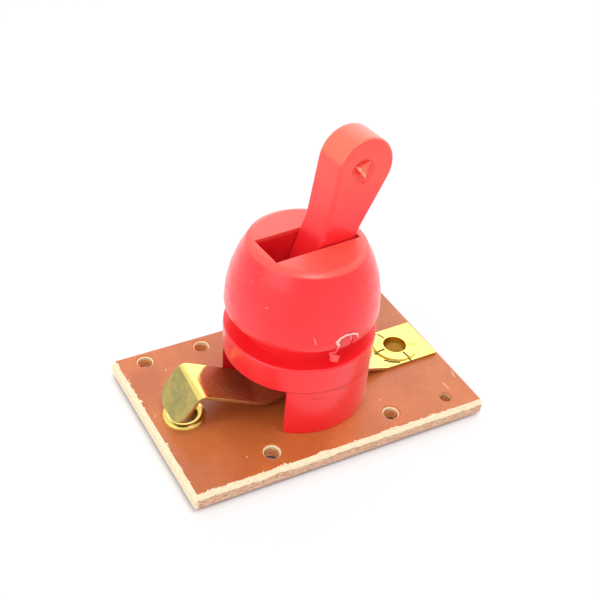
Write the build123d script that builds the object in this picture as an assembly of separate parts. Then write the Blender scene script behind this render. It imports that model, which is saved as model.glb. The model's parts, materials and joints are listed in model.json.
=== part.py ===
from build123d import *
import math
import os

# A toggle switch on a small wiring board, in millimetres, +Z up.
# The origin is where the axis of the round housing meets the underside of the board.
# +X runs along the long edges of the board, from the contact end to the terminal end.

# Board: a sheet of resin-bonded paper, sawn by hand a little out of square.
BOARD_LENGTH = 34.35
BOARD_DEPTH = 22.7
BOARD_THICKNESS = 1.6
BOARD_RIGHT = 18.15
BOARD_BACK = 11.6
LEFT_EDGE_SKEW = 1.5
RIGHT_EDGE_SKEW = 0.4
BACK_EDGE_SKEW = 1.15
EDGE_CHIP = 0.4
HOLE_CHIP = 0.22
SCREW_HOLE_RADIUS = 0.83
SCREW_PITCH = 14.4
SCREW_CENTRE = 0.1
SCREW_ROW_SHIFT = 0.3
SCREW_INSET_FRONT = 2.55
SCREW_INSET_BACK = 2.25
WIRE_HOLE_RADIUS = 0.65
WIRE_HOLE_CHIP = 0.1
WIRE_HOLE_INSET_X = 3.5
WIRE_HOLE_INSET_Y = 2.22
CORNER_HOLE_INSET_X = 3.45
CORNER_HOLE_INSET_Y = 1.24

# Eyelets: two of the same hollow rivet. The contact eyelet has its rolled head on top.
# The terminal eyelet stands the other way up, with its split end on top of the leaf.
EYELET_BORE_RADIUS = 1.35
EYELET_WALL = 0.25
EYELET_HEAD_RADIUS = 2.35
EYELET_HEAD_HEIGHT = 0.45
EYELET_SPLAY_RADIUS = 2.62
EYELET_SPLAY_THICKNESS = 0.2
ROLL_STEPS = 4
SPLIT_WIDTH = 0.14
SPLIT_ANGLES = (-20.0, 110.0, 187.0, 277.0)
TERMINAL_INSET = 4.6
TERMINAL_Y = 0.4
CONTACT_DISTANCE = 26.75
CONTACT_SIDE = 0.2

# Leaf: one brass strip. Heights are of its middle line above the board.
LEAF_TURN = 1.8
LEAF_THICKNESS = 0.4
LEAF_WIDTH = 6.0
LEAF_TIP_WIDTH = 5.5
LEAF_TAIL = 4.0
LEAF_ROOT = 0.25
LEAF_HUMP_OFFSET = 5.5
LEAF_HUMP_HEIGHT = 1.95
LEAF_VALLEY_OFFSET = 5.3
LEAF_VALLEY_HEIGHT = 1.02
LEAF_CREST_BEFORE_CONTACT = 0.7
LEAF_CREST_HEIGHT = 4.95
LEAF_TIP_PAST_CONTACT = 1.8
LEAF_BEND_RADIUS = 1.0
LEAF_TIP_CORNER = 1.85
CONTACT_GAP = 0.8

# Housing: one moulding. A barrel with a slot in its top, a panel groove, a flange and two
# legs that straddle the leaf. Pegs under the legs pass through the board and are staked.
HOUSING_TURN = 6.0
HOUSING_RADIUS = 8.12
LEG_INSET = 0.07
LEG_HEIGHT = 5.9
LEG_WALL = 2.05
FLANGE_HEIGHT = 3.05
GROOVE_DEPTH = 1.82
GROOVE_HEIGHT = 2.3
BARREL_LIP_INSET = 0.14
BARREL_LIP_HEIGHT = 0.6
BARREL_HEIGHT = 8.0
BARREL_TAPER = 2.02
BARREL_STEPS = 4
TOP_ROLL_WIDTH = 0.8
TOP_ROLL_DROP = 0.35
RIM_BEVEL = 0.15
CAVITY_ROOF = 1.25
CHANNEL_WIDTH = 7.2
WINDOW_ANGLE = 49.0
SLOT_LENGTH = 9.8
SLOT_WIDTH = 4.1
PEG_RADIUS = 0.8
PEG_ANGLES = (-115.0, -50.0)
PEG_HOLE_CLEARANCE = 0.05
STAKE_RADIUS = 1.3
STAKE_HEIGHT = 0.45
STAKE_BEVEL = 0.25

# Pivot: a plastic pin through the barrel, its ends melted into shallow pockets.
PIVOT_ABOVE_GROOVE = 0.52
PIN_RADIUS = 0.8
PIN_HEAD_RADIUS = 1.3
PIN_HEAD_DEPTH = 0.45
PIN_DISH_RADIUS = 0.75
PIN_DISH_DEPTH = 0.2
PIN_RUNNING_CLEARANCE = 0.05

# Lever: a paddle above the pivot and a foot below it. At rest, with the switch open, the
# foot stands over the low part of the leaf. Tipped over, it presses on the hump.
LEVER_THICKNESS = 3.8
LEVER_TILT = 17.5
SHANK_WIDTH = 4.3
PADDLE_REACH = 15.75
PADDLE_RADIUS = 3.2
FLARE_START = 9.6
FLARE_BLEND = 8.0
HUB_RADIUS = 2.7
FOOT_WAIST_RADIUS = 1.5
FOOT_TIP_RADIUS = 1.2
FOOT_PRESS = 0.08
LEVER_EDGE_ROUNDING = 0.4
DIMPLE_RADIUS = 1.4
DIMPLE_DEPTH = 0.5
DIMPLE_SIDE = 0.43
DIMPLE_DROP = 0.25
NUB_RADIUS = 0.6
NUB_HEIGHT = 0.65
NUB_SIDE = 0.3
NUB_SLOPE = 35.0

# How far a cutting body runs past the faces that it cuts.
PAST = 1.0

BOARD_LEFT = BOARD_RIGHT - BOARD_LENGTH
BOARD_FRONT = BOARD_BACK - BOARD_DEPTH
BOARD_LEFT_BACK = BOARD_BACK - BACK_EDGE_SKEW
BOARD_TOP = BOARD_THICKNESS
LEG_RADIUS = HOUSING_RADIUS - LEG_INSET
CAVITY_RADIUS = LEG_RADIUS - LEG_WALL
PEG_CIRCLE_RADIUS = LEG_RADIUS - LEG_WALL / 2
FLANGE_BASE = BOARD_TOP + LEG_HEIGHT
FLANGE_TOP = FLANGE_BASE + FLANGE_HEIGHT
GROOVE_TOP = FLANGE_TOP + GROOVE_HEIGHT
HOUSING_TOP = GROOVE_TOP + BARREL_HEIGHT
PIVOT_Z = GROOVE_TOP + PIVOT_ABOVE_GROOVE
TERMINAL_X = BOARD_RIGHT - TERMINAL_INSET
EYELET_OUTER_RADIUS = EYELET_BORE_RADIUS + EYELET_WALL


def upright(radius, low, high, x=0.0, y=0.0):
    """A round bar along Z between two heights."""
    return Pos(x, y, (low + high) / 2) * Cylinder(radius, high - low)


def block(x_range, y_range, z_range):
    """A box between three pairs of limits."""
    size = [high - low for low, high in (x_range, y_range, z_range)]
    middle = [(high + low) / 2 for low, high in (x_range, y_range, z_range)]
    return Pos(*middle) * Box(*size)


def along_leaf(distance, side=0.0):
    """A place measured from the terminal along the leaf, and across it towards the back."""
    turn = math.radians(LEAF_TURN)
    x = TERMINAL_X - distance * math.cos(turn) - side * math.sin(turn)
    y = TERMINAL_Y - distance * math.sin(turn) + side * math.cos(turn)
    return x, y


# --- board -----------------------------------------------------------------------------


def screw_hole_places():
    """Four screw holes round the housing; the back row sits a little to the left."""
    rows = [
        (BOARD_FRONT + SCREW_INSET_FRONT, SCREW_CENTRE + SCREW_ROW_SHIFT),
        (BOARD_BACK - SCREW_INSET_BACK, SCREW_CENTRE - SCREW_ROW_SHIFT),
    ]
    return [(middle + side * SCREW_PITCH / 2, y) for y, middle in rows for side in (-1, 1)]


def chipped_hole(radius, chip, x, y):
    """A drilled hole whose top rim has chipped away to a shallow cone."""
    cone = Pos(x, y, BOARD_TOP - chip / 2) * Cone(radius, radius + chip, chip)
    return upright(radius, -PAST, BOARD_TOP + PAST, x, y) + cone


def board_blank():
    """The plain sheet with its chipped front and left top edges."""
    corners = [
        (BOARD_LEFT, BOARD_FRONT),
        (BOARD_RIGHT, BOARD_FRONT),
        (BOARD_RIGHT - RIGHT_EDGE_SKEW, BOARD_BACK),
        (BOARD_LEFT - LEFT_EDGE_SKEW, BOARD_LEFT_BACK),
    ]
    sheet = extrude(make_face(Polyline(*corners, close=True)), BOARD_THICKNESS)
    top = sheet.edges().group_by(Axis.Z)[-1]
    return chamfer([top.sort_by(Axis.Y)[0], top.sort_by(Axis.X)[0]], EDGE_CHIP)


def peg_places():
    """The four pegs in board coordinates: two under each leg, half a turn apart."""
    angles = [HOUSING_TURN + a + half for half in (0, 180) for a in PEG_ANGLES]
    radians = [math.radians(a) for a in angles]
    return [(PEG_CIRCLE_RADIUS * math.cos(a), PEG_CIRCLE_RADIUS * math.sin(a)) for a in radians]


def base_board():
    """The board with its screw, wire, peg and eyelet holes."""
    board = board_blank()
    wire = (BOARD_RIGHT - WIRE_HOLE_INSET_X, BOARD_FRONT + WIRE_HOLE_INSET_Y)
    corner_x = BOARD_LEFT - LEFT_EDGE_SKEW + CORNER_HOLE_INSET_X
    corner = (corner_x, BOARD_LEFT_BACK - CORNER_HOLE_INSET_Y)
    board -= chipped_hole(WIRE_HOLE_RADIUS, WIRE_HOLE_CHIP, *wire)
    for place in [*screw_hole_places(), corner]:
        board -= chipped_hole(SCREW_HOLE_RADIUS, HOLE_CHIP, *place)
    for x, y in peg_places():
        board -= upright(PEG_RADIUS + PEG_HOLE_CLEARANCE, -PAST, BOARD_TOP + PAST, x, y)
    for x, y in (along_leaf(0), along_leaf(CONTACT_DISTANCE, CONTACT_SIDE)):
        board -= upright(EYELET_OUTER_RADIUS, -PAST, BOARD_TOP + PAST, x, y)
    return board


# --- eyelets ---------------------------------------------------------------------------


def rolled_head():
    """The rolled head, on z = 0: half an ellipse, from the rim over to the bore, in a few steps."""
    crest = (EYELET_BORE_RADIUS + EYELET_HEAD_RADIUS) / 2
    half_width = EYELET_HEAD_RADIUS - crest
    turns = [math.pi * step / ROLL_STEPS for step in range(ROLL_STEPS + 1)]
    roll = [(crest + half_width * math.cos(t), EYELET_HEAD_HEIGHT * math.sin(t)) for t in turns]
    return revolve(Plane.XZ * make_face(Polyline(*roll, close=True)), Axis.Z)


def splayed_end():
    """The split end, hammered out flat on z = 0 into uneven petals."""
    disc = upright(EYELET_SPLAY_RADIUS, 0, EYELET_SPLAY_THICKNESS)
    disc -= upright(EYELET_BORE_RADIUS, -PAST, PAST)
    split_length = EYELET_SPLAY_RADIUS - EYELET_OUTER_RADIUS + PAST
    split = Pos(EYELET_OUTER_RADIUS + split_length / 2, 0, 0) * Box(split_length, SPLIT_WIDTH, 2 * PAST)
    for angle in SPLIT_ANGLES:
        disc -= Rot(0, 0, angle) * split
    return disc


def eyelet(grip):
    """A hollow rivet through `grip`, rolled head on top and split end below z = -grip."""
    tube = upright(EYELET_OUTER_RADIUS, -grip, 0) - upright(EYELET_BORE_RADIUS, -grip, 0)
    return tube + rolled_head() + Pos(0, 0, -grip) * Rot(180, 0, 0) * splayed_end()


def contact_eyelet():
    """Fixed contact under the tip of the leaf, rolled head upwards."""
    x, y = along_leaf(CONTACT_DISTANCE, CONTACT_SIDE)
    return Pos(x, y, BOARD_TOP) * eyelet(BOARD_THICKNESS)


def terminal_eyelet():
    """Clamps the leaf to the board, split end upwards."""
    turned = Rot(180, 0, 0) * eyelet(BOARD_THICKNESS + LEAF_THICKNESS)
    return Pos(TERMINAL_X, TERMINAL_Y, 0) * turned


# --- leaf ------------------------------------------------------------------------------


def leaf_middle_line():
    """The bends of the leaf: distance from the terminal, and height, tail end first."""
    flat = BOARD_TOP + LEAF_THICKNESS / 2
    tip = BOARD_TOP + EYELET_HEAD_HEIGHT + CONTACT_GAP
    points = [
        (-LEAF_TAIL, flat),
        (EYELET_SPLAY_RADIUS + LEAF_ROOT, flat),
        (TERMINAL_X - LEAF_HUMP_OFFSET, BOARD_TOP + LEAF_HUMP_HEIGHT),
        (TERMINAL_X + LEAF_VALLEY_OFFSET, BOARD_TOP + LEAF_VALLEY_HEIGHT),
        (CONTACT_DISTANCE - LEAF_CREST_BEFORE_CONTACT, BOARD_TOP + LEAF_CREST_HEIGHT),
        (CONTACT_DISTANCE + LEAF_TIP_PAST_CONTACT, tip),
    ]
    return FilletPolyline(*points, radius=LEAF_BEND_RADIUS)


def leaf_outline():
    """Plan of the leaf: it narrows evenly from the tail to the tip."""
    tip = CONTACT_DISTANCE + LEAF_TIP_PAST_CONTACT + LEAF_THICKNESS
    corners = [
        (-LEAF_TAIL, -LEAF_WIDTH / 2),
        (tip, -LEAF_TIP_WIDTH / 2),
        (tip, LEAF_TIP_WIDTH / 2),
        (-LEAF_TAIL, LEAF_WIDTH / 2),
    ]
    return make_face(Polyline(*corners, close=True))


def contact_spring():
    """The leaf, formed with the terminal at the origin and laid across the board."""
    ribbon = trace(leaf_middle_line(), LEAF_THICKNESS)
    formed = extrude(Plane.XZ * ribbon, LEAF_WIDTH, both=True)
    formed &= extrude(leaf_outline(), BOARD_TOP + LEAF_CREST_HEIGHT + PAST)
    tip_face = formed.faces().sort_by(Axis.X)[-1]
    formed = fillet(tip_face.edges().filter_by(Axis.Y, reverse=True), LEAF_TIP_CORNER)
    formed -= upright(EYELET_OUTER_RADIUS, 0, BOARD_TOP + LEAF_THICKNESS + PAST)
    return Pos(TERMINAL_X, TERMINAL_Y, 0) * Rot(0, 0, 180 + LEAF_TURN) * formed


# --- housing ---------------------------------------------------------------------------


def housing_envelope():
    """The outside of the housing, turned about the Z axis: legs, flange, groove, barrel.

    The barrel's curved side is laid out as an arc and turned as a few straight tapers.
    """
    widest = (HOUSING_RADIUS, GROOVE_TOP + BARREL_LIP_HEIGHT)
    shoulder = (HOUSING_RADIUS - BARREL_TAPER, HOUSING_TOP - TOP_ROLL_DROP)
    flat_top = (HOUSING_RADIUS - BARREL_TAPER - TOP_ROLL_WIDTH, HOUSING_TOP)
    flange_rim = (HOUSING_RADIUS, FLANGE_TOP)
    barrel_lip = (HOUSING_RADIUS - BARREL_LIP_INSET, GROOVE_TOP)
    steps = Polyline(
        (0, HOUSING_TOP),
        (0, BOARD_TOP),
        (LEG_RADIUS, BOARD_TOP),
        (LEG_RADIUS, FLANGE_BASE),
        (HOUSING_RADIUS, FLANGE_BASE),
        flange_rim,
        (HOUSING_RADIUS - GROOVE_DEPTH, FLANGE_TOP),
        (HOUSING_RADIUS - GROOVE_DEPTH, GROOVE_TOP),
        barrel_lip,
        widest,
    )
    curve = TangentArc(widest, shoulder, tangent=(0, 1))
    side = Polyline(*[curve @ (step / BARREL_STEPS) for step in range(BARREL_STEPS + 1)])
    top = Polyline(shoulder, flat_top, (0, HOUSING_TOP))
    profile = make_face([*steps.edges(), *side.edges(), *top.edges()])
    profile = chamfer(corners_at(profile, [flange_rim, barrel_lip]), RIM_BEVEL)
    return revolve(Plane.XZ * profile, Axis.Z)


def corners_at(sketch, places):
    """The corners of a sketch that lie at given points."""
    return [min(sketch.vertices(), key=lambda v: math.dist((v.X, v.Y), place)) for place in places]


def window_wedge():
    """The opening beside the leaf that runs from the channel round to the leg."""
    reach = 2 * LEG_RADIUS
    angle = math.radians(WINDOW_ANGLE)
    corner = (reach * math.cos(angle), reach * math.sin(angle))
    face = make_face(Polyline((0, 0), (reach, 0), corner, close=True))
    return Pos(0, 0, BOARD_TOP - PAST) * extrude(face, LEG_HEIGHT + PAST)


def staked_peg(angle):
    """A peg under a leg, through the board, with a melted button head below it."""
    peg = upright(PEG_RADIUS, 0, BOARD_TOP + LEG_HEIGHT / 2)
    head = upright(STAKE_RADIUS, -STAKE_HEIGHT, 0)
    head = chamfer(head.edges().group_by(Axis.Z)[0], STAKE_BEVEL)
    return Rot(0, 0, angle) * Pos(PEG_CIRCLE_RADIUS, 0, 0) * (peg + head)


def pivot_bar(radius, half_length):
    """A round bar along the pivot axis."""
    return Pos(0, 0, PIVOT_Z) * Rot(90, 0, 0) * Cylinder(radius, 2 * half_length)


def pivot_pockets():
    """Shallow pockets in both sides of the barrel that take the melted pin heads."""
    depth = PIN_HEAD_DEPTH + PAST
    place = HOUSING_RADIUS - PIN_HEAD_DEPTH + depth / 2
    pocket = Rot(90, 0, 0) * Cylinder(PIN_HEAD_RADIUS, depth)
    return Pos(0, place, PIVOT_Z) * pocket + Pos(0, -place, PIVOT_Z) * pocket


def switch_housing():
    """The housing with its cavity, slot, leaf channel, windows, pivot bore and pegs."""
    housing = housing_envelope()
    housing -= upright(CAVITY_RADIUS, BOARD_TOP - PAST, FLANGE_TOP - CAVITY_ROOF)
    slot = (-SLOT_LENGTH / 2, SLOT_LENGTH / 2), (-SLOT_WIDTH / 2, SLOT_WIDTH / 2)
    housing -= block(*slot, (BOARD_TOP, HOUSING_TOP + PAST))
    channel = (-2 * LEG_RADIUS, 2 * LEG_RADIUS), (-CHANNEL_WIDTH / 2, CHANNEL_WIDTH / 2)
    housing -= block(*channel, (BOARD_TOP - PAST, FLANGE_BASE))
    for half in (0, 180):
        housing -= Rot(0, 0, half) * window_wedge()
    housing -= pivot_bar(PIN_RADIUS, HOUSING_RADIUS + PAST)
    housing -= pivot_pockets()
    for half in (0, 180):
        for angle in PEG_ANGLES:
            housing += staked_peg(angle + half)
    return Rot(0, 0, HOUSING_TURN) * housing


# --- pivot pin and lever ---------------------------------------------------------------


def pivot_pin():
    """The pin with its dished heads, flush with the barrel and with the groove's roof."""
    pin = pivot_bar(PIN_RADIUS, HOUSING_RADIUS + PAST) + pivot_pockets()
    pin &= housing_envelope()
    for side in (-1, 1):
        place = side * (HOUSING_RADIUS - PIN_DISH_DEPTH + PAST / 2)
        pin -= Pos(0, place, PIVOT_Z) * Rot(90, 0, 0) * Cylinder(PIN_DISH_RADIUS, PAST)
    return Rot(0, 0, HOUSING_TURN) * pin


def foot_reach():
    """Distance from the pivot to the centre of the foot's tip.

    Straight below the pivot the foot reaches FOOT_PRESS past the leaf at rest, which by then
    has gone down as far.
    """
    slope = (LEAF_HUMP_HEIGHT - LEAF_VALLEY_HEIGHT) / (LEAF_HUMP_OFFSET + LEAF_VALLEY_OFFSET)
    middle = BOARD_TOP + LEAF_VALLEY_HEIGHT + slope * LEAF_VALLEY_OFFSET
    return PIVOT_Z - middle - LEAF_THICKNESS / 2 - FOOT_TIP_RADIUS + FOOT_PRESS


def lever_outline():
    """Side view of the lever, upright, with the pivot at the origin."""
    head = Pos(0, PADDLE_REACH) * Circle(PADDLE_RADIUS)
    shank_end = Pos(0, FLARE_START) * Rectangle(SHANK_WIDTH, LEVER_EDGE_ROUNDING)
    paddle = make_hull((head + shank_end).edges())
    shank = Rectangle(SHANK_WIDTH, FLARE_START, align=(Align.CENTER, Align.MIN))
    outline = paddle + shank
    flare = [(side * SHANK_WIDTH / 2, FLARE_START) for side in (-1, 1)]
    outline = fillet(corners_at(outline, flare), FLARE_BLEND)
    foot = Circle(FOOT_WAIST_RADIUS) + Pos(0, -foot_reach()) * Circle(FOOT_TIP_RADIUS)
    return outline + Circle(HUB_RADIUS) + make_hull(foot.edges())


def gate_dimple():
    """The dished gate mark in the front of the paddle."""
    ball = (DIMPLE_RADIUS**2 + DIMPLE_DEPTH**2) / (2 * DIMPLE_DEPTH)
    y = -LEVER_THICKNESS / 2 + DIMPLE_DEPTH - ball
    return Pos(-DIMPLE_SIDE, y, PADDLE_REACH - DIMPLE_DROP) * Sphere(ball)


def gate_nub():
    """The stub of the gate in its dimple, broken off at a slant from its left side."""
    fall = 2 * NUB_RADIUS * math.tan(math.radians(NUB_SLOPE))
    side_view = [
        (-NUB_RADIUS, 0),
        (-NUB_RADIUS, -NUB_HEIGHT),
        (NUB_RADIUS, fall - NUB_HEIGHT),
        (NUB_RADIUS, fall),
    ]
    wedge = extrude(make_face(Polyline(*side_view, close=True)), NUB_RADIUS, both=True)
    stub = wedge & Rot(90, 0, 0) * Cylinder(NUB_RADIUS, 2 * (NUB_HEIGHT + fall))
    foot = DIMPLE_DEPTH - LEVER_THICKNESS / 2
    return Pos(NUB_SIDE - DIMPLE_SIDE, foot, PADDLE_REACH - DIMPLE_DROP) * stub


def toggle_lever():
    """The lever at rest, leaning towards the terminal with its foot over the leaf."""
    lever = extrude(Plane.XZ * lever_outline(), LEVER_THICKNESS / 2, both=True)
    rims = [edge for end in (0, -1) for edge in lever.edges().group_by(Axis.Y)[end]]
    lever = fillet([edge for edge in rims if edge.center().Z > HUB_RADIUS], LEVER_EDGE_ROUNDING)
    lever -= gate_dimple()
    lever += gate_nub()
    bore = Rot(90, 0, 0) * Cylinder(PIN_RADIUS + PIN_RUNNING_CLEARANCE, LEVER_THICKNESS + PAST)
    lever -= bore
    tilted = Pos(0, 0, PIVOT_Z) * Rot(0, LEVER_TILT, 0) * lever
    return Rot(0, 0, HOUSING_TURN) * tilted


NODES = {
    "base_board": base_board,
    "switch_housing": switch_housing,
    "pivot_pin": pivot_pin,
    "toggle_lever": toggle_lever,
    "contact_spring": contact_spring,
    "contact_eyelet": contact_eyelet,
    "terminal_eyelet": terminal_eyelet,
}

os.makedirs("parts", exist_ok=True)
for name, make in NODES.items():
    export_step(make(), f"parts/{name}.step")
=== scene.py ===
"""A toggle switch on a small wiring board: its finishes, small details, studio and camera.

Places are in metres, or in mm where a comment says so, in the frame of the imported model: +Z
out of the board, +X along it from the contact end to the terminal end.
"""
import json
import math

import bpy
from mathutils import Matrix, Vector

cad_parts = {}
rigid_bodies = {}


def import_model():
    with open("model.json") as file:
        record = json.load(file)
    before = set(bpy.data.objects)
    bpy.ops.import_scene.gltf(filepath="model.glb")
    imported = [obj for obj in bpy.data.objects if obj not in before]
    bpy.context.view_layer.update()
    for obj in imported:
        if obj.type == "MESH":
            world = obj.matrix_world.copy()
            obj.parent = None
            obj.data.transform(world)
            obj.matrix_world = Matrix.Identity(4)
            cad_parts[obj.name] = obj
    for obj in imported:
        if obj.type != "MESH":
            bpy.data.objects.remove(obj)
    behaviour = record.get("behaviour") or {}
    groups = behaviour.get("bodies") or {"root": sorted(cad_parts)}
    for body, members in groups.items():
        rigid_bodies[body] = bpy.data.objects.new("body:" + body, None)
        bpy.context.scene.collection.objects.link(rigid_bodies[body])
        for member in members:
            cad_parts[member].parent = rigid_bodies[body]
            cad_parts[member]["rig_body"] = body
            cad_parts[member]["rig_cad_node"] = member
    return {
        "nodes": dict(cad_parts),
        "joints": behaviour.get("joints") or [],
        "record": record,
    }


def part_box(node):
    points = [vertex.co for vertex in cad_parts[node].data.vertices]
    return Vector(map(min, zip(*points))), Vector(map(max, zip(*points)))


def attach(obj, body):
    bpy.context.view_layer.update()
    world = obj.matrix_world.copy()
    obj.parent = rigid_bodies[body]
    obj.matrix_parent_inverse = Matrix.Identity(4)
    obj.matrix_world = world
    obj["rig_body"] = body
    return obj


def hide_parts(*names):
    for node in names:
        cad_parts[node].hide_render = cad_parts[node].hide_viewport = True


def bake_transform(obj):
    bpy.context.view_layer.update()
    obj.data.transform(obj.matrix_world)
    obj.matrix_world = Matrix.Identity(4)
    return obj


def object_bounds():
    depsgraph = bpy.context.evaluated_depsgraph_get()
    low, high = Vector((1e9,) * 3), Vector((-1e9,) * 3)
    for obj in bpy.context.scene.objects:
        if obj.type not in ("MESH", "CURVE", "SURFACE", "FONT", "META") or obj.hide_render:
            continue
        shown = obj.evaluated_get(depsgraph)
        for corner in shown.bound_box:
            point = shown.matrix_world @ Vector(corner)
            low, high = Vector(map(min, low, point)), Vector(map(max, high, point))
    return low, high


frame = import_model()
cad_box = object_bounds()

MM = 0.001
UP = Vector((0, 0, 1))

# Camera: where it stands, what it looks at, how far it is rolled, its lens in mm, and the
# nearest that it sees.
CAMERA_PLACE = Vector((-35.64, -60.40, 68.07)) * MM
CAMERA_AIM = Vector((1.85, 3.52, 10.0)) * MM
CAMERA_ROLL = math.radians(5.57)
CAMERA_LENS = 51.36
CAMERA_NEAR = 2 * MM

# Studio: a pale table top and soft lamps. Where it is looked at, the table glows by a share
# that drops to nothing in the shadow under the board's edge and is full far from the board.
# Each lamp has its bearing, height angle, width, height and radiance.
TABLE_HALF_WIDTH = 900 * MM
TABLE_GLOW_SHARE = 0.75
FULL_GLOW = (60 * MM, 140 * MM)
SHADOW_START = -0.6 * MM
SHADOW_REACH = 2.8 * MM
WORLD_LEVEL = 0.86
LAMP_DISTANCE = 330 * MM
LAMPS = {
    "back_window": (50, 27, 400 * MM, 300 * MM, 0.8),
    "ceiling_panel": (-60, 80, 100 * MM, 100 * MM, 8.0),
    "left_window": (-165, 32, 260 * MM, 220 * MM, 1.3),
}

# Widths of the rounded edges, and how a CAD node's facets are joined and shaded: the angles
# in degrees up to which they are merged or shaded smooth, and the least Z of a level normal.
SOFT_EDGE = 0.06 * MM
CRISP_EDGE = 0.03 * MM
MERGE_DISTANCE = 0.002 * MM
FLAT_ANGLE = 0.4
SHARP_ANGLE = 32
FLAT_NORMAL = 0.98

# Wear and painted sheen: the housing's top and the lever's handled crown are paler and warmer,
# partly worn and partly a painted highlight. These give how far the worn edge of the housing's
# top and the handled crown of the lever reach down, how far the lever's handled edges reach in,
# and how far its faint wear and sheen spread down.
RIM_WEAR_SHEEN = (0.5 * MM, 0.3 * MM)
CROWN_WEAR_SHEEN = (2.8 * MM, 1.8 * MM)
EDGE_WEAR_SHEEN = (0.15 * MM, 0.35 * MM)
FAINT_WEAR_SHEEN = 8 * MM

# The leaf: the step between the cuts that let it bend, how far its crest lies from the contact,
# and how far a normal points across the leaf on its sheared edges.
BENT_STEP = 0.7 * MM
CREST_BEFORE_CONTACT = 0.55 * MM
SHEARED_NORMAL = 0.8

# The leaf's arm turns brown between a start and an end along X, partly brown brass and
# partly a painted reflection of the red housing. The start is bowed round the middle Y, and at
# the end the brown fades out over a length.
BROWN_REFLECTION_START = -11.75 * MM
BROWN_REFLECTION_MIDDLE = -1.5 * MM
BROWN_REFLECTION_BOW = 8.0 * MM
BROWN_REFLECTION_END = 6.0 * MM
BROWN_REFLECTION_FADE = 2 * MM

# Melted collar round the pin's front end. Each thread is a line of places, in mm: sideways
# and upwards from the pin, outwards from the barrel, and the thread's half thickness.
COLLAR = (
    (1.42, 0.22, 0.0, 0.07),
    (1.15, 0.78, 0.0, 0.13),
    (0.55, 1.1, 0.0, 0.10),
    (-0.27, 1.22, 0.0, 0.11),
    (-0.88, 1.0, 0.0, 0.12),
    (-1.2, 0.6, 0.02, 0.17),
    (-1.05, 0.3, 0.02, 0.17),
    (-0.85, 0.08, 0.0, 0.08),
)
COLLAR_FLAP = ((0.3, 0.98, -0.02, 0.07), (0.36, 0.69, 0.0, 0.06), (0.5, 0.3, -0.02, 0.05))
STRAND = (
    (-0.85, 0.08, 0.0, 0.08),
    (-1.0, -0.05, 0.0, 0.07),
    (-1.11, -0.47, 0.02, 0.075),
    (-1.33, -0.62, 0.05, 0.08),
    (-1.73, -0.6, 0.0, 0.08),
    (-1.83, -0.72, -0.05, 0.09),
    (-1.66, -0.98, -0.15, 0.14),
)
DROP = (
    (-1.66, -0.98, -0.15, 0.15),
    (-1.4, -1.3, -0.2, 0.26),
    (-1.15, -1.62, -0.25, 0.40),
    (-1.45, -1.75, -0.25, 0.22),
    (-1.03, -2.1, -0.3, 0.17),
    (-0.78, -1.9, -0.28, 0.17),
    (-0.66, -2.45, -0.3, 0.07),
    (-0.78, -1.9, -0.28, 0.17),
    (-0.62, -1.6, -0.25, 0.12),
)
THREAD_STEP = 0.06
COLLAR_WHITENED = (-0.5, 0.1)

# Balls that grow into one lump are joined at this enlargement and voxel size in mm, and the
# lump is shaded smooth up to an angle in degrees.
ENLARGED = 10.0
BEAD_VOXEL = 0.045
FLAKE_VOXEL = 0.035
LUMP_ANGLE = 60

# The flake of the torn gate in the lever's dimple, in mm: corners of its torn face, along and
# up the lever from the pivot and outwards from the dimple's floor. Its balls lie in steps along
# the face and in levels up from the floor. Near its ridge it is whitened, partly as a painted
# highlight, between two distances, and painted shade takes most of that back between two more.
# The floor lies out from the lever's middle, and the lever leans at rest.
FLAKE = ((-1.13, 15.77, 0.58), (0.12, 14.93, 0.48), (-0.04, 16.57, 0.48))
FLAKE_STEPS = 9
FLAKE_LEVELS = 4
FLAKE_THICKNESS = 0.07
FLAKE_WHITENED_HIGHLIGHT = (-0.12 * MM, -0.05 * MM)
FLAKE_SHADED = (0.08 * MM, 0.26 * MM)
DIMPLE_FLOOR = 1.42
LEVER_LEAN = math.radians(17.5)

# The board's left edge leans outwards over its depth, and its front edge is square. Both are
# chipped to a width. Facets of the outer sides are larger than an area, those of the holes
# smaller. The sheet's core is pale above a height.
LEFT_EDGE_LEAN = 1.5 * MM
LEFT_EDGE_DEPTH = 21.55 * MM
BROKEN_EDGE = 0.4 * MM
SIDE_AREA = 3 * MM * MM
PALE_LAYER = 0.98 * MM

# Walls of the holes, as depths below the board's face between which one look turns into
# another: its pressed skin, its pale torn mouth, the streaks in that mouth.
SKIN_DEPTH = (0.12 * MM, 0.09 * MM)
MOUTH_DEPTH = (0.6 * MM, 0.45 * MM)
STREAK_DEPTH = (0.2 * MM, 0.25 * MM)

# Painted shadow in the cracks of the hammered end of the terminal rivet and along its rim's
# edge, in mm from its centre: from x, y to x, y. They fade out over a depth below the board's
# face. The bore's darker look is painted shade inside the hole; it ends between two distances
# outside its wall, and the rim is hammered from a third.
CRACK_SHADOWS = (
    (-1.02, 2.55, -0.62, 1.55),
    (-2.95, -0.46, -1.65, -0.26),
    (0.25, -1.62, 0.46, -2.95),
    (-2.4, -1.8, -2.0, -2.25),
    (-2.0, -2.25, -1.0, -2.75),
)
CRACK_SHADOW_HALF_WIDTH = 0.18 * MM
CRACK_SHADOW_DEPTH = 0.2 * MM
RIVET_BORE = 1.35 * MM
BORE_EDGE = (0.12 * MM, 0.04 * MM)
HAMMERED_OUT = 0.5 * MM

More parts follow.
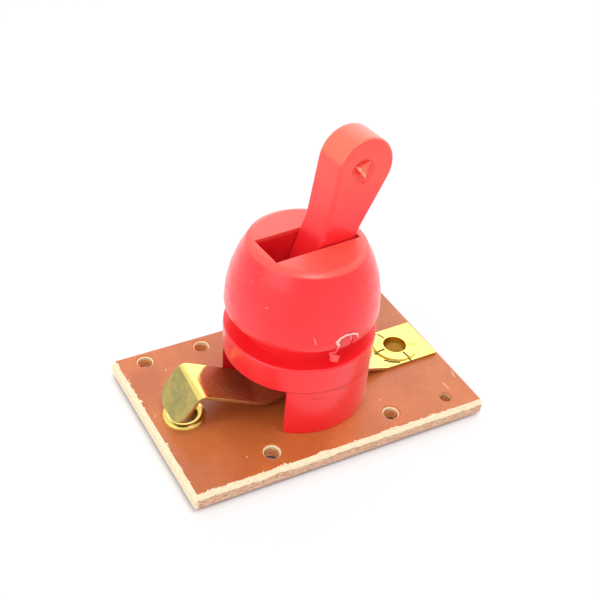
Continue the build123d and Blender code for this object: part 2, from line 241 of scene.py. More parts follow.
# Marks on the housing's round face, from bearing and height to bearing and height, in
# degrees and mm, with crease lines and a nick painted dark as shade, and pale marks on the
# board, from x, y to x, y in mm.
PALE_SCUFFS = ((-109.5, 14.8, -107.6, 14.1), (-93, 13.4, -90.5, 13.5))
CREASE_SHADE_MARKS = (
    (-89.5, 7.25, -82, 7.15),
    (-82, 7.15, -76.5, 6.9),
    (-106, 6.65, -101.5, 6.55),
    (-84.5, 5.9, -80.5, 4.5),
    (-178, 9.5, -172.5, 10.4),
)
MARK_HALF_WIDTH = 0.08 * MM
BOARD_SCRATCHES = (
    (17.75, -5.5, 17.5, -6.6),
    (15.65, -6.9, 15.75, -7.8),
    (7.4, -6.45, 7.6, -6.4),
    (-12.6, 7.0, -12.5, 7.1),
    (-16.1, 0.7, -16.0, 0.8),
    (-9.5, -8.25, -9.4, -8.2),
)

RED = (0.97, 0.020, 0.028)
RED_DEEP = (0.95, 0.008, 0.016)
# RED_CREASE_SHADE is painted shade in the crease lines of the housing.
RED_CREASE_SHADE = (0.45, 0.005, 0.008)
# RED_WORN_SHEEN and RED_HANDLED_SHEEN are worn plastic with a painted highlight on the tops.
RED_WORN_SHEEN = (0.98, 0.085, 0.058)
RED_HANDLED_SHEEN = (0.98, 0.17, 0.09)
RED_WHITENED = (1.0, 0.42, 0.40)
RED_MELTED = (1.0, 0.60, 0.52)
# RED_TORN_HIGHLIGHT is torn, whitened plastic and a painted highlight.
RED_TORN_HIGHLIGHT = (1.0, 0.50, 0.30)
LAMINATE = (0.64, 0.180, 0.042)
LAMINATE_DARK = (0.50, 0.122, 0.026)
LAMINATE_CORE = (0.95, 0.82, 0.55)
LAMINATE_SAWN = (0.74, 0.42, 0.28)
# LAMINATE_TORN_AND_SHADOW is torn streaks and a painted shadow under the pale layer.
LAMINATE_TORN_AND_SHADOW = (0.42, 0.24, 0.11)
# LAMINATE_BORE is brighter than the sheet, as painted light inside the holes.
LAMINATE_BORE = (0.98, 0.42, 0.16)
LAMINATE_BURNT = (0.50, 0.19, 0.06)
BRASS = (0.95, 0.77, 0.22)
BRASS_DULL = (0.62, 0.46, 0.13)
# BRASS_BROWN_REFLECTION is brown brass and a painted reflection of the red housing.
BRASS_BROWN_REFLECTION = (0.46, 0.062, 0.022)
# BRASS_BORE is painted shade inside a rivet's hole.
BRASS_BORE = (0.80, 0.50, 0.09)
# BRASS_TARNISH_REFLECTION and BRASS_GREENED are tarnish and a painted dark reflection on the
# leaf's tongue.
BRASS_TARNISH_REFLECTION = (0.36, 0.31, 0.12)
BRASS_GREENED = (0.22, 0.21, 0.10)
BRASS_SHEARED = (0.62, 0.36, 0.16)
SHADOW = (0.03, 0.018, 0.012)
DUST = (0.85, 0.78, 0.66)
TABLE = (0.88, 0.88, 0.89)
WHITE = (1, 1, 1)


# --- choosing and shaping ----------------------------------------------------------------


def choose(piece):
    """Makes one object the only one that is selected and active."""
    bpy.ops.object.select_all(action="DESELECT")
    piece.select_set(True)
    bpy.context.view_layer.objects.active = piece
    return piece


def take(name):
    """Names the object that an operator has just added."""
    piece = bpy.context.object
    piece.name = name
    piece.data.name = name
    return piece


def edit(piece, *steps):
    """Runs steps in edit mode with everything selected before each."""
    choose(piece)
    bpy.ops.object.mode_set(mode="EDIT")
    for step in steps:
        bpy.ops.mesh.select_all(action="SELECT")
        step()
    bpy.ops.object.mode_set(mode="OBJECT")
    return piece


def modify(piece, kind, **settings):
    """Adds a modifier and applies it."""
    choose(piece)
    modifier = piece.modifiers.new(kind.title(), kind)
    for key, value in settings.items():
        setattr(modifier, key, value)
    bpy.ops.object.modifier_apply(modifier=modifier.name)
    return piece


def settle(piece):
    """Puts the object's place, turn and size into its mesh."""
    choose(piece)
    bpy.ops.object.transform_apply(location=True, rotation=True, scale=True)
    return piece


def smooth(piece, degrees=SHARP_ANGLE):
    """Shades a piece smooth across edges flatter than the angle."""
    choose(piece)
    bpy.ops.object.shade_smooth_by_angle(angle=math.radians(degrees))
    return piece


def body_of_node(name):
    """The CAD body that holds a node."""
    bodies = frame["record"]["behaviour"]["bodies"]
    return next(body for body, nodes in bodies.items() if name in nodes)


def dressed(node, name, edge, rides=True, weighed=True):
    """A merged copy of a CAD node with its facets joined and its sharp edges rounded.

    `edge` is the width of the rounding, or 0 for none. A piece that isn't `weighed` keeps its
    plain smooth shading, and one that doesn't ride is left without a body.
    """
    piece = frame["nodes"][node].copy()
    piece.data = piece.data.copy()
    piece.parent = None
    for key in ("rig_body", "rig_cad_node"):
        del piece[key]
    bpy.context.scene.collection.objects.link(piece)
    piece.name = name
    piece.data.name = name
    piece.data.materials.clear()
    edit(
        piece,
        lambda: bpy.ops.mesh.remove_doubles(threshold=MERGE_DISTANCE),
        lambda: bpy.ops.mesh.dissolve_limited(angle_limit=math.radians(FLAT_ANGLE)),
    )
    if edge:
        modify(
            piece,
            "BEVEL",
            width=edge,
            segments=2,
            limit_method="ANGLE",
            angle_limit=math.radians(SHARP_ANGLE),
            use_clamp_overlap=False,
        )
    smooth(piece)
    if weighed:
        modify(piece, "WEIGHTED_NORMAL", keep_sharp=True)
    if rides:
        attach(piece, body_of_node(node))
    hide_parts(node)
    return piece


# --- finishes ----------------------------------------------------------------------------


class Amount:
    """A number that varies over a surface, with arithmetic that adds Math nodes."""

    def __init__(self, finish, socket):
        self.finish = finish
        self.socket = socket

    def maths(self, operation, first, second=0.0):
        """The result of one Math node."""
        node = self.finish.node("ShaderNodeMath", {"operation": operation}, {0: first, 1: second})
        return Amount(self.finish, node.outputs[0])

    def __add__(self, other):
        return self.maths("ADD", self, other)

    def __sub__(self, other):
        return self.maths("SUBTRACT", self, other)

    def __rsub__(self, other):
        return self.maths("SUBTRACT", other, self)

    def __mul__(self, other):
        return self.maths("MULTIPLY", self, other)

    def __truediv__(self, other):
        return self.maths("DIVIDE", self, other)

    __radd__ = __add__
    __rmul__ = __mul__

    def most(self, other):
        """The larger of two."""
        return self.maths("MAXIMUM", self, other)

    def least(self, other):
        """The smaller of two."""
        return self.maths("MINIMUM", self, other)

    def size(self):
        """The amount without its sign."""
        return self.maths("ABSOLUTE", self)

    def bearing(self, x):
        """The angle from the X axis to the place at x, with this amount as its y."""
        return self.maths("ARCTAN2", self, x)

    def root(self):
        """The square root."""
        return self.maths("SQRT", self)

    def rise(self, low, high):
        """0 below `low`, 1 above `high`, and a soft step between. Low may be above high."""
        settings = {"interpolation_type": "SMOOTHSTEP"}
        if low <= high:
            node = self.finish.node(
                "ShaderNodeMapRange", settings, {"Value": self, "From Min": low, "From Max": high}
            )
            return Amount(self.finish, node.outputs[0])
        return 1.0 - self.rise(high, low)


class Nodes:
    """A node tree that is emptied and built again."""

    def __init__(self, tree):
        self.tree = tree
        self.tree.nodes.clear()

    def put(self, socket, value):
        """Sets or links one socket."""
        if isinstance(value, Amount):
            value = value.socket
        if isinstance(value, bpy.types.NodeSocket):
            self.tree.links.new(value, socket)
            return
        if socket.type == "RGBA" and len(value) == 3:
            value = (*value, 1.0)
        socket.default_value = value

    def node(self, kind, settings=None, sockets=None):
        """Adds a node with its settings and the values or links of its sockets."""
        node = self.tree.nodes.new(kind)
        for key, value in (settings or {}).items():
            setattr(node, key, value)
        for key, value in (sockets or {}).items():
            self.put(node.inputs[key], value)
        return node

    def seen(self):
        """1 where the camera, a reflection or a clear piece looks, 0 where light is gathered."""
        rays = self.node("ShaderNodeLightPath").outputs
        camera, glossy, clear = (
            Amount(self, rays[f"Is {kind} Ray"]) for kind in ("Camera", "Glossy", "Transmission")
        )
        return camera.most(glossy).most(clear)


class Finish(Nodes):
    """A procedural material on one Principled shader."""

    def __init__(self, name, **sockets):
        self.material = bpy.data.materials.new(name)
        self.material.use_nodes = True
        super().__init__(self.material.node_tree)
        named = {key.replace("_", " "): value for key, value in sockets.items()}
        self.shader = self.node("ShaderNodeBsdfPrincipled", {}, named)
        surface = {"Surface": self.shader.outputs[0]}
        self.output = self.node("ShaderNodeOutputMaterial", {}, surface)
        self.place = self.node("ShaderNodeTexCoord").outputs["Object"]
        parts = self.node("ShaderNodeSeparateXYZ", {}, {0: self.place})
        self.x, self.y, self.z = (Amount(self, output) for output in parts.outputs)

    def set(self, **sockets):
        """Sets the shader's sockets, whose names are written with underscores."""
        for key, value in sockets.items():
            self.put(self.shader.inputs[key.replace("_", " ")], value)

    def mapped(self, turn=(0, 0, 0), scale=(1, 1, 1)):
        """Object coordinates, turned and then shrunk or stretched."""
        turned = self.node("ShaderNodeMapping", {}, {0: self.place, "Rotation": turn})
        scaled = self.node("ShaderNodeMapping", {}, {0: turned.outputs[0], "Scale": scale})
        return scaled.outputs[0]

    def noise(self, size, detail=3.0, rough=0.55, place=None):
        """Cloudy noise from 0 to 1, with features of about `size` metres."""
        sockets = {"Scale": 1 / size, "Detail": detail, "Roughness": rough}
        sockets["Vector"] = self.place if place is None else place
        return Amount(self, self.node("ShaderNodeTexNoise", {}, sockets).outputs[0])

    def cells(self, size):
        """Distance to the nearest of scattered points, `size` metres apart."""
        sockets = {"Scale": 1 / size, "Vector": self.place}
        node = self.node("ShaderNodeTexVoronoi", {"feature": "F1"}, sockets)
        return Amount(self, node.outputs["Distance"])

    def blend(self, factor, first, second):
        """A colour between two, by a factor."""
        sockets = {"Factor": factor, 6: first, 7: second}
        return self.node("ShaderNodeMix", {"data_type": "RGBA"}, sockets).outputs[2]

    def bump(self, height, depth, strength=1.0):
        """A normal bent by a height from 0 to 1 that stands for `depth` metres."""
        sockets = {"Strength": strength, "Distance": depth, "Height": height}
        return self.node("ShaderNodeBump", {}, sockets).outputs[0]

    def stroke(self, u, v, start, end, half_width):
        """1 on a straight mark between two places in the coordinates u and v, 0 away from it."""
        run, climb = end[0] - start[0], end[1] - start[1]
        share = ((u - start[0]) * run + (v - start[1]) * climb) / (run * run + climb * climb)
        share = share.most(0.0).least(1.0)
        across, down = u - start[0] - share * run, v - start[1] - share * climb
        return (across * across + down * down).root().rise(half_width, 0.4 * half_width)

    def strokes(self, u, v, marks, half_width):
        """The strongest of several marks, each from one u and v to another."""
        covered = 0.0
        for u0, v0, u1, v1 in marks:
            covered = self.stroke(u, v, (u0, v0), (u1, v1), half_width).most(covered)
        return covered


def housing_marks(finish, marks, radius):
    """Marks on the housing's round face, given by bearing and height.

    Bearings on the far side count on below -180 degrees, so that a mark can run past it.
    """
    bearing = finish.y.bearing(finish.x)
    bearing = bearing - bearing.rise(0.0, 0.1) * (2 * math.pi)
    distance = (finish.x * finish.x + finish.y * finish.y).root()
    outside = distance.rise(radius - 0.6 * MM, radius - 0.4 * MM)
    wander = (finish.noise(0.4 * MM) - 0.5) * (0.25 * MM)
    placed = [
        (math.radians(start) * radius, low * MM, math.radians(end) * radius, high * MM)
        for start, low, end, high in marks
    ]
    u, v = bearing * radius + wander, finish.z + wander
    return finish.strokes(u, v, placed, MARK_HALF_WIDTH) * outside


def red_moulding(name, worn_sheen_above, worn=RED_WORN_SHEEN, marked_radius=0.0, paddle=None):
    """Glossy red moulded plastic: faint clouds, fine pits, a paler top of wear and painted sheen,
    scuffs and marks, the dark crease lines among them painted shade.

    `paddle` is the middle, direction and half thickness of a lever that is worn and painted
    with sheen at its edges.
    """
    finish = Finish(name, IOR=1.42, Coat_Weight=0.5, Coat_Roughness=0.24)
    finish.set(Sheen_Weight=0.2, Sheen_Roughness=0.35)
    clouds = finish.noise(5 * MM)
    grain = finish.noise(0.35 * MM, detail=4)
    colour = finish.blend(clouds.rise(0.3, 0.75), RED_DEEP, RED)
    low, high = worn_sheen_above
    # The top is made paler, partly as wear and partly as a painted highlight.
    rubbed_sheen = finish.z.rise(low, high) * (0.75 + 0.25 * grain)
    if paddle:
        middle, across, half = paddle
        offset = (finish.x - middle.x) * across.x + (finish.y - middle.y) * across.y
        wander = (grain - 0.5) * (0.15 * MM)
        edges = (offset.size() + wander).rise(half - EDGE_WEAR_SHEEN[0], half - EDGE_WEAR_SHEEN[1])
        faint = finish.z.rise(low - FAINT_WEAR_SHEEN, high) * (0.2 + 0.3 * clouds)
        rubbed_sheen = faint.most(rubbed_sheen * edges)
    # `worn` is the colour of that wear and painted sheen.
    colour = finish.blend(rubbed_sheen, colour, worn)
    slanted = finish.mapped(turn=(0.4, 0.5, 0.2), scale=(1, 1, 5))
    streaks = finish.noise(0.9 * MM, detail=2, place=slanted)
    scuffs = streaks.rise(0.66, 0.74) * finish.noise(4.5 * MM).rise(0.60, 0.68) * 0.5
    creases_and_shade = 0.0
    if marked_radius:
        scuffs = scuffs.most(0.7 * housing_marks(finish, PALE_SCUFFS, marked_radius))
        # Crease lines are grooved by the bump and painted dark as shade.
        creases_and_shade = housing_marks(finish, CREASE_SHADE_MARKS, marked_radius)
        colour = finish.blend(creases_and_shade * 0.6, colour, RED_CREASE_SHADE)
    finish.set(
        Base_Color=finish.blend(scuffs * 0.8, colour, RED_WHITENED),
        Roughness=0.27 + 0.10 * grain + 0.2 * scuffs + 0.18 * rubbed_sheen,
        Normal=finish.bump(grain + 0.6 * clouds - 3.0 * creases_and_shade, 0.012 * MM, 0.35),
    )
    return finish.material


def torn_red(name, pale, direction, whitened, dulled=None):
    """The red plastic where it was melted or torn.

    Along the direction, it turns pale between the two places of `whitened`, and much of that
    is lost again between those of `dulled`. On the gate flake that pale is partly a painted
    highlight, and the loss is painted shade.
    """
    finish = Finish(name, IOR=1.5)
    grain = finish.noise(0.3 * MM, detail=4)
    along = finish.x * direction.x + finish.y * direction.y + finish.z * direction.z
    share = along.rise(*whitened)
    if dulled:
        share = share * (1.0 - 0.78 * along.rise(*dulled))
    white = share * (0.62 + 0.38 * grain.rise(0.35, 0.6)) + (1.0 - share) * (0.25 * grain)
    finish.set(
        Base_Color=finish.blend(white, RED, pale),
        Roughness=0.35 + 0.2 * grain,
        Normal=finish.bump(grain, 0.02 * MM, 0.4),
    )
    return finish.material


def from_left_edge(finish):
    """Distance from the board's leaning left edge."""
    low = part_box("base_board")[0]
    edge = low.x + LEFT_EDGE_LEAN * (low.y + LEFT_EDGE_DEPTH - finish.y) / LEFT_EDGE_DEPTH
    return finish.x - edge


def laminate_face():
    """The pressed face of resin-bonded paper: brown, satin, mottled, chipped along two edges."""
    finish = Finish("laminate_face", IOR=1.6)
    low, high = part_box("base_board")
    clouds = finish.noise(6 * MM, detail=5, rough=0.6)
    fibres = finish.noise(0.5 * MM, detail=5, place=finish.mapped(scale=(1, 3, 1)))
    spiky = (finish.noise(0.22 * MM, detail=4) - 0.48) * (0.7 * MM)
    bitten = (finish.noise(1.3 * MM, detail=5, rough=0.65) - 0.52) * (1.5 * MM)
    inside = (finish.y - low.y).least(from_left_edge(finish)) - BROKEN_EDGE
    upper = finish.z.rise(0.4 * high.z, 0.6 * high.z)
    chipped = (inside - spiky - bitten).rise(0.02 * MM, -0.02 * MM) * upper
    marks = [[value * MM for value in mark] for mark in BOARD_SCRATCHES]
    scratched = finish.strokes(finish.x, finish.y, marks, MARK_HALF_WIDTH) * 0.6
    pale = chipped.most(scratched * upper)
    colour = finish.blend(clouds.rise(0.35, 0.7), LAMINATE_DARK, LAMINATE)
    grit = finish.noise(0.22 * MM, detail=3)
    colour = finish.blend(grit.rise(0.35, 0.65) * 0.35, colour, LAMINATE_DARK)
    mottled = finish.blend(fibres.rise(0.58, 0.8) * 0.14, colour, LAMINATE_CORE)
    finish.set(
        Base_Color=finish.blend(pale, mottled, LAMINATE_CORE),
        Roughness=0.28 + 0.12 * clouds + 0.4 * pale,
        Normal=finish.bump(fibres + clouds - 2.0 * chipped, 0.03 * MM, 0.4),
    )
    return finish.material


def laminate_core():
    """The broken or sawn inside of the sheet: pale above, pinkish below, fibrous and matt."""
    finish = Finish("laminate_core", IOR=1.45, Roughness=0.75)
    layers = finish.noise(0.55 * MM, detail=6, rough=0.7, place=finish.mapped(scale=(1, 1, 3.5)))
    fibres = finish.noise(0.2 * MM, detail=4, rough=0.7)
    patches = finish.noise(1.3 * MM, detail=5, rough=0.7)
    depth = finish.z + (patches - 0.5) * (1.3 * MM) + (fibres - 0.5) * (0.4 * MM)
    top = depth.rise(PALE_LAYER, PALE_LAYER + 0.1 * MM)
    left = from_left_edge(finish).rise(0.5 * MM, 0.2 * MM)
    pale = top.most(left).most(layers.rise(0.53, 0.60) * 0.7)
    torn = layers.rise(0.47, 0.38) * (0.85 - 0.6 * top.most(left))
    # Along the lower edge of the pale layer the sheet is painted dark brown, as shadow.
    seam_shadow = (depth - PALE_LAYER).size().rise(0.09 * MM, 0.03 * MM)
    seam_shadow = seam_shadow * fibres.rise(0.42, 0.55) * 0.7 * (1.0 - left)
    colour = finish.blend(pale, LAMINATE_SAWN, LAMINATE_CORE)
    finish.set(
        Base_Color=finish.blend(torn.most(seam_shadow), colour, LAMINATE_TORN_AND_SHADOW),
        Normal=finish.bump(fibres + layers, 0.12 * MM, 0.7),
    )
    return finish.material


def laminate_bore():
    """The wall of a drilled hole: torn pale fibres at its mouth, mottled brown below, the brown
    made brighter as painted light against the shade in the hole.
    """
    finish = Finish("laminate_bore", IOR=1.45, Roughness=0.8)
    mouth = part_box("base_board")[1].z
    fibres = finish.noise(0.28 * MM, detail=5, rough=0.7)
    torn = finish.noise(0.5 * MM, detail=4, place=finish.mapped(scale=(1, 1, 2)))
    depth = finish.z + (torn - 0.5) * (0.5 * MM)
    brown = finish.blend(fibres.rise(0.36, 0.48), LAMINATE_BURNT, LAMINATE_BORE)
    brown = finish.blend(torn.rise(0.55, 0.62) * 0.6, brown, LAMINATE_CORE)
    pale = depth.rise(*(mouth - below for below in MOUTH_DEPTH))
    streaks = fibres.rise(0.44, 0.38) * depth.rise(*(mouth - below for below in STREAK_DEPTH))
    colour = finish.blend(pale * (1.0 - 0.8 * streaks), brown, LAMINATE_CORE)
    level = finish.z + (fibres - 0.5) * (0.1 * MM)
    skin = level.rise(*(mouth - below for below in SKIN_DEPTH))
    finish.set(
        Base_Color=finish.blend(skin, colour, LAMINATE),
        Normal=finish.bump(fibres + torn, 0.12 * MM, 0.8),
    )
    return finish.material


def crack_shadows(finish, centre):
    """Painted shadow in a rivet's cracks and along its rim's edge, on what stands on the board.
    """
    wander = (finish.noise(0.6 * MM, detail=2) - 0.5) * (0.16 * MM)
    u, v = finish.x - centre.x + wander, finish.y - centre.y + wander
    marks = [[value * MM for value in mark] for mark in CRACK_SHADOWS]
    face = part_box("base_board")[1].z
    above = finish.z.rise(face - CRACK_SHADOW_DEPTH, face)
    return finish.strokes(u, v, marks, CRACK_SHADOW_HALF_WIDTH) * above


def sheared_brass():
    """The cut edge of the sheet: coppery and dull."""
    finish = Finish("sheared_brass", Metallic=1.0)
    drag = finish.noise(0.3 * MM, detail=4, place=finish.mapped(scale=(0.4, 1, 1)))
    finish.set(
        Base_Color=finish.blend(drag.rise(0.35, 0.7), BRASS_SHEARED, BRASS_DULL),
        Roughness=0.35 + 0.2 * drag,
        Normal=finish.bump(drag, 0.02 * MM, 0.4),
    )
    return finish.material


def hammered_brass():
    """The rim that was hammered out flat: yellow and dull."""
    finish = Finish("hammered_brass", Metallic=0.35)
    dents = finish.noise(0.5 * MM, detail=3)
    finish.set(
        Base_Color=finish.blend(dents.rise(0.4, 0.7) * 0.4, BRASS, BRASS_DULL),
        Roughness=0.45 + 0.2 * dents,
        Normal=finish.bump(dents, 0.02 * MM, 0.5),
    )
    return finish.material


def tarnish_and_reflections(finish, colour, scratches, crest):
    """Tarnish and a painted dark reflection left of the leaf's crest, and the brown stretch of
    its arm, which is also a painted reflection of the red housing.

    Returns the new colour and how far each of the two covers the brass.
    """
    edge = finish.x + (finish.noise(0.8 * MM) - 0.5) * (0.2 * MM)
    tarnish_reflection = edge.rise(crest, crest - 0.15 * MM)
    mottle = finish.noise(1.8 * MM, detail=4)
    spots = finish.noise(0.8 * MM, detail=4)
    tarnish_reflection_colour = finish.blend(mottle.rise(0.35, 0.6) * 0.6, BRASS_TARNISH_REFLECTION, BRASS_DULL)
    tarnish_reflection_colour = finish.blend(spots.rise(0.42, 0.7) * 0.45, tarnish_reflection_colour, BRASS_GREENED)
    colour = finish.blend(tarnish_reflection * 0.9, colour, tarnish_reflection_colour)
    bow = (finish.y - BROWN_REFLECTION_MIDDLE).size() / BROWN_REFLECTION_BOW
    limit = finish.x - BROWN_REFLECTION_START - bow * bow * BROWN_REFLECTION_BOW + (mottle - 0.5) * (0.4 * MM)
    end = finish.x.rise(BROWN_REFLECTION_END + BROWN_REFLECTION_FADE, BROWN_REFLECTION_END)
    brown_reflection = limit.rise(0.0, 0.35 * MM) * end
    worn = scratches.rise(0.58, 0.66) * finish.noise(3 * MM).rise(0.45, 0.55) * 0.5
    return finish.blend(brown_reflection * (0.92 - worn), colour, BRASS_BROWN_REFLECTION), tarnish_reflection, brown_reflection


def brass(name, crack_shadow_centre=None, crest=None, bore=None, dulled=0.0):
    """Rolled sheet brass with fine scratches and specks.

    It has painted shadow in the cracks round `crack_shadow_centre`, tarnish and painted
    reflections on either side of the X of `crest`, and painted shade that makes it darker inside
    `bore`, the middle and radius of a rivet's hole.
    """
    finish = Finish(name)
    clouds = finish.noise(2.5 * MM, detail=4)
    rolled = finish.mapped(turn=(0, 0, 0.5), scale=(0.08, 1, 1))
    scratches = finish.noise(0.12 * MM, detail=4, place=rolled)
    specks = finish.cells(0.5 * MM).rise(0.16, 0.10) * finish.noise(1.6 * MM).rise(0.50, 0.56)
    colour = finish.blend(clouds.rise(0.4, 0.9) * 0.4, BRASS, BRASS_DULL)
    tarnish_reflection = brown_reflection = 0.0
    if crest is not None:
        colour, tarnish_reflection, brown_reflection = tarnish_and_reflections(finish, colour, scratches, crest)
    rough = 0.10 + dulled + 0.08 * clouds + 0.06 * scratches + 0.14 * tarnish_reflection + 0.22 * brown_reflection
    # Inside a rivet's hole the brass is painted darker, as shade.
    if bore:
        middle, radius = bore
        x, y = finish.x - middle.x, finish.y - middle.y
        inside = (x * x + y * y).root().rise(*(radius + further for further in BORE_EDGE))
        colour = finish.blend(inside, colour, BRASS_BORE)
    # `dark` is the painted shadow in the cracks.
    dark = crack_shadows(finish, crack_shadow_centre) if crack_shadow_centre else 0.0
    colour = finish.blend(specks * 0.5, colour, DUST)
    finish.set(
        Base_Color=finish.blend(dark, colour, SHADOW),
        Roughness=rough + 0.5 * dark + 0.2 * specks,
        Metallic=1.0 - 0.5 * specks - 0.55 * brown_reflection - dark,
        Normal=finish.bump(scratches + 0.5 * clouds, 0.006 * MM, 0.3),
    )
    return finish.material


# --- pieces ------------------------------------------------------------------------------


def centre_of(node):
    """Middle of a node's box."""
    low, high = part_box(node)
    return (low + high) / 2


def joint(name):
    """A joint's place, axis and range."""
    return next(item for item in frame["joints"] if item["name"] == name)


def pin_end():
    """The pin's middle in mm, and the direction from it to its front end."""
    hinge = joint("lever_tip")
    axis = Vector(hinge["axis"])
    return Vector(hinge["pos_m"]) / MM, axis if axis.y < 0 else -axis


def make_board():
    """Faces up and down get the pressed face; outer sides and chips the core; holes the bore."""
    board = dressed("base_board", "laminate_board", 0, weighed=False)
    for finish in (laminate_face(), laminate_core(), laminate_bore()):
        board.data.materials.append(finish)
    for polygon in board.data.polygons:
        if abs(polygon.normal.z) > FLAT_NORMAL:
            polygon.use_smooth = False
            polygon.material_index = 0
        elif polygon.area > SIDE_AREA:
            polygon.material_index = 1
        else:
            polygon.material_index = 2


def make_plastic():
    """The red mouldings: the housing, the lever and the pin on which it tips."""
    low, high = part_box("switch_housing")
    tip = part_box("toggle_lever")[1]
    housing = dressed("switch_housing", "barrel_housing", SOFT_EDGE)
    rim = [high.z - drop for drop in RIM_WEAR_SHEEN]
    radius = (high.y - low.y) / 2
    housing.data.materials.append(red_moulding("red_housing", rim, marked_radius=radius))
    lever = dressed("toggle_lever", "lever_paddle", SOFT_EDGE)
    hinge = joint("lever_tip")
    pivot, across = Vector(hinge["pos_m"]), Vector(hinge["axis"])
    half = max(abs((vertex.co - pivot).dot(across)) for vertex in lever.data.vertices)
    crown = [tip.z - drop for drop in CROWN_WEAR_SHEEN]
    # The lever's crown gets wear and a painted highlight.
    handled = red_moulding("red_lever", crown, worn=RED_HANDLED_SHEEN, paddle=(pivot, across, half))
    lever.data.materials.append(handled)
    pin = dressed("pivot_pin", "staked_pin", 0)
    pin.data.materials.append(red_moulding("red_pin", rim))


def cut_across(piece, start, direction, step, count):
    """Adds straight cuts across a long piece, so that it can bend."""
    for i in range(count):
        point = start + direction * step * i
        edit(piece, lambda: bpy.ops.mesh.bisect(plane_co=point, plane_no=direction))


def make_leaf():
    """The brass leaf, which bends from its root when the lever presses it down."""
    flex = joint("leaf_flex")
    root, across = Vector(flex["pos_m"]), Vector(flex["axis"])
    along = UP.cross(across).normalized()
    towards_tip = along if along.x < 0 else -along
    leaf = dressed("contact_spring", "leaf_spring", CRISP_EDGE, rides=False, weighed=False)
    crest = centre_of("contact_eyelet").x + CREST_BEFORE_CONTACT
    leaf.data.materials.append(brass("sheet_brass", centre_of("terminal_eyelet"), crest))
    leaf.data.materials.append(sheared_brass())
    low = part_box("contact_spring")[0]
    cut_across(leaf, root, towards_tip, BENT_STEP, int((root.x - low.x) / BENT_STEP))
    smooth(leaf)
    modify(leaf, "WEIGHTED_NORMAL", keep_sharp=True)
    for polygon in leaf.data.polygons:
        sheared = abs(polygon.normal.dot(across)) > SHEARED_NORMAL
        polygon.material_index = 1 if sheared else 0
    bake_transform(leaf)


def make_eyelets():
    """The two hollow rivets. The outer rim of the terminal's upper end is hammered out."""
    contact = dressed("contact_eyelet", "contact_rivet", CRISP_EDGE)
    hole = (centre_of("contact_eyelet"), RIVET_BORE)
    contact.data.materials.append(brass("contact_brass", bore=hole, dulled=0.12))
    terminal = dressed("terminal_eyelet", "terminal_rivet", CRISP_EDGE)
    middle = centre_of("terminal_eyelet")
    terminal.data.materials.append(brass("terminal_brass", middle, bore=(middle, RIVET_BORE)))
    terminal.data.materials.append(hammered_brass())
    for polygon in terminal.data.polygons:
        out = (polygon.center - middle).xy.length - RIVET_BORE
        upper = polygon.center.z > middle.z
        if abs(polygon.normal.z) < 0.5 and out > HAMMERED_OUT and upper:
            polygon.material_index = 1


def beads(name, places, voxel=BEAD_VOXEL):
    """One lump grown from overlapping balls, each given by its centre and radius in mm."""
    bpy.ops.object.select_all(action="DESELECT")
    scale = ENLARGED * MM
    (centre, radius), *others = places
    bpy.ops.mesh.primitive_ico_sphere_add(radius=radius * scale, location=centre * scale)
    lump = settle(take(name))
    choose(lump)
    bpy.ops.object.mode_set(mode="EDIT")
    for centre, radius in others:
        bpy.ops.mesh.primitive_ico_sphere_add(radius=radius * scale, location=centre * scale)
    bpy.ops.object.mode_set(mode="OBJECT")
    modify(lump, "REMESH", mode="VOXEL", voxel_size=voxel * scale)
    modify(lump, "SMOOTH", factor=0.5, iterations=3)
    size = (1 / ENLARGED,) * 3
    edit(lump, lambda: bpy.ops.transform.resize(value=size, center_override=(0, 0, 0)))
    return smooth(lump, LUMP_ANGLE)


def thread(points):
    """Places along a line of places, close enough for their balls to join."""
    places = []
    for start, end in zip(points, points[1:]):
        steps = max(1, round(math.dist(start[:3], end[:3]) / THREAD_STEP))
        for i in range(steps + 1):
            places.append([a + (b - a) * i / steps for a, b in zip(start, end)])
    return places


def make_melted_collar():
    """The melted collar round the front end of the pin, with a strand and the drop on it."""
    pivot, outwards = pin_end()
    low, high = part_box("switch_housing")
    radius = (high.y - low.y) / 2 / MM
    places = []
    for points in (COLLAR, COLLAR_FLAP, STRAND, DROP):
        for sideways, height, outset, size in thread(points):
            direction = Matrix.Rotation(sideways / radius, 3, "Z") @ outwards
            centre = direction * (radius + outset) + Vector((0, 0, pivot.z + height))
            places.append((centre, size))
    collar = beads("melted_pin_collar", places)
    whitened = [(pivot.z + height) * MM for height in COLLAR_WHITENED]
    collar.data.materials.append(torn_red("melted_red", RED_MELTED, UP, whitened))
    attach(collar, "base")


def make_gate_flake():
    """The torn flake of the moulding gate that stands in the lever's dimple."""
    pivot, outwards = pin_end()
    upwards = Matrix.Rotation(LEVER_LEAN, 3, -outwards) @ UP
    along = (-outwards).cross(upwards)
    places = []
    for i in range(FLAKE_STEPS + 1):
        for j in range(FLAKE_STEPS + 1 - i):
            shares = (i / FLAKE_STEPS, j / FLAKE_STEPS, 1 - (i + j) / FLAKE_STEPS)
            side, rise, out = (
                sum(share * value for share, value in zip(shares, column))
                for column in zip(*FLAKE)
            )
            foot = pivot + along * side + upwards * rise
            for level in range(FLAKE_LEVELS + 1):
                offset = DIMPLE_FLOOR + out * level / FLAKE_LEVELS
                places.append((foot + outwards * offset, FLAKE_THICKNESS))
    flake = beads("torn_gate_flake", places, voxel=FLAKE_VOXEL)
    first, second, third = (along * side + upwards * rise for side, rise, out in FLAKE)
    ridge = (second - first).normalized()
    inwards = (third - first - ridge * (third - first).dot(ridge)).normalized()
    start = (pivot + first).dot(inwards) * MM
    # The pale ridge is whitened plastic and a painted highlight; the band after it is painted
    # shade.
    whitened = [start + place for place in FLAKE_WHITENED_HIGHLIGHT]
    dulled = [start + place for place in FLAKE_SHADED]
    flake.data.materials.append(torn_red("torn_red", RED_TORN_HIGHLIGHT, inwards, whitened, dulled))
    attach(flake, "lever")


# --- studio ------------------------------------------------------------------------------


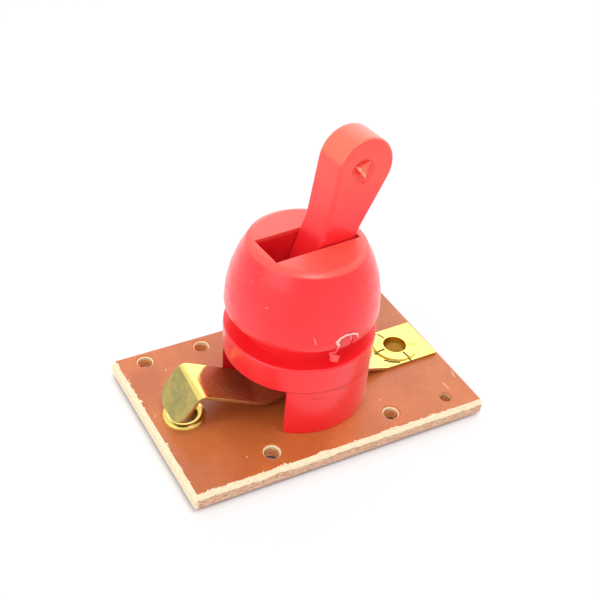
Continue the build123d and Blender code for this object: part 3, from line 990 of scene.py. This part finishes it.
def make_table():
    """A pale table top under the lowest point of the switch."""
    bpy.ops.object.select_all(action="DESELECT")
    bottom = cad_box[0][2]
    bpy.ops.mesh.primitive_plane_add(size=2 * TABLE_HALF_WIDTH, location=(0, 0, bottom))
    table = settle(take("pale_table"))
    finish = Finish("pale_table_top", Roughness=0.9)
    finish.set(Base_Color=TABLE)
    low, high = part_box("base_board")
    middle, half = (low + high) / 2, (high - low) / 2
    outside = ((finish.x - middle.x).size() - half.x).most((finish.y - middle.y).size() - half.y)
    seen = finish.seen() * outside.rise(SHADOW_START, SHADOW_REACH)
    glow = finish.node("ShaderNodeEmission", {}, {"Color": WHITE, "Strength": 1.0})
    share = TABLE_GLOW_SHARE + (1.0 - TABLE_GLOW_SHARE) * outside.rise(*FULL_GLOW)
    sockets = {0: seen * share, 1: finish.shader.outputs[0], 2: glow.outputs[0]}
    mix = finish.node("ShaderNodeMixShader", {}, sockets)
    finish.put(finish.output.inputs["Surface"], mix.outputs[0])
    table.data.materials.append(finish.material)


def make_lamps():
    """Soft square lamps that face the switch."""
    for name, (bearing, height, width, tall, radiance) in LAMPS.items():
        turn, lift = math.radians(bearing), math.radians(height)
        level = math.cos(lift)
        towards = Vector((math.cos(turn) * level, math.sin(turn) * level, math.sin(lift)))
        data = bpy.data.lights.new(name, "AREA")
        data.shape = "RECTANGLE"
        data.size = width
        data.size_y = tall
        data.energy = radiance * math.pi * width * tall
        lamp = bpy.data.objects.new(name, data)
        bpy.context.scene.collection.objects.link(lamp)
        lamp.location = CAMERA_AIM + towards * LAMP_DISTANCE
        lamp.rotation_euler = towards.to_track_quat("Z", "Y").to_euler()


def make_world():
    """A soft even room that looks white."""
    world = bpy.data.worlds.new("soft_room")
    world.use_nodes = True
    room = Nodes(world.node_tree)
    strength = WORLD_LEVEL + (1.0 - WORLD_LEVEL) * room.seen()
    background = room.node("ShaderNodeBackground", {}, {"Color": WHITE, "Strength": strength})
    room.node("ShaderNodeOutputWorld", {}, {"Surface": background.outputs[0]})
    bpy.context.scene.world = world


def make_camera():
    """The camera, rolled about its line of sight."""
    data = bpy.data.cameras.new("camera")
    data.lens = CAMERA_LENS
    data.clip_start = CAMERA_NEAR
    camera = bpy.data.objects.new("camera", data)
    bpy.context.scene.collection.objects.link(camera)
    back = (CAMERA_PLACE - CAMERA_AIM).normalized()
    right = UP.cross(back).normalized()
    upward = back.cross(right)
    rolled_right = math.cos(CAMERA_ROLL) * right + math.sin(CAMERA_ROLL) * upward
    turn = Matrix((rolled_right, back.cross(rolled_right), back)).transposed()
    camera.matrix_world = Matrix.Translation(CAMERA_PLACE) @ turn.to_4x4()
    bpy.context.scene.camera = camera


make_camera()
make_board()
make_plastic()
make_leaf()
make_eyelets()
make_melted_collar()
make_gate_flake()
make_table()
make_lamps()
make_world()
bpy.context.scene.view_settings.view_transform = "Standard"
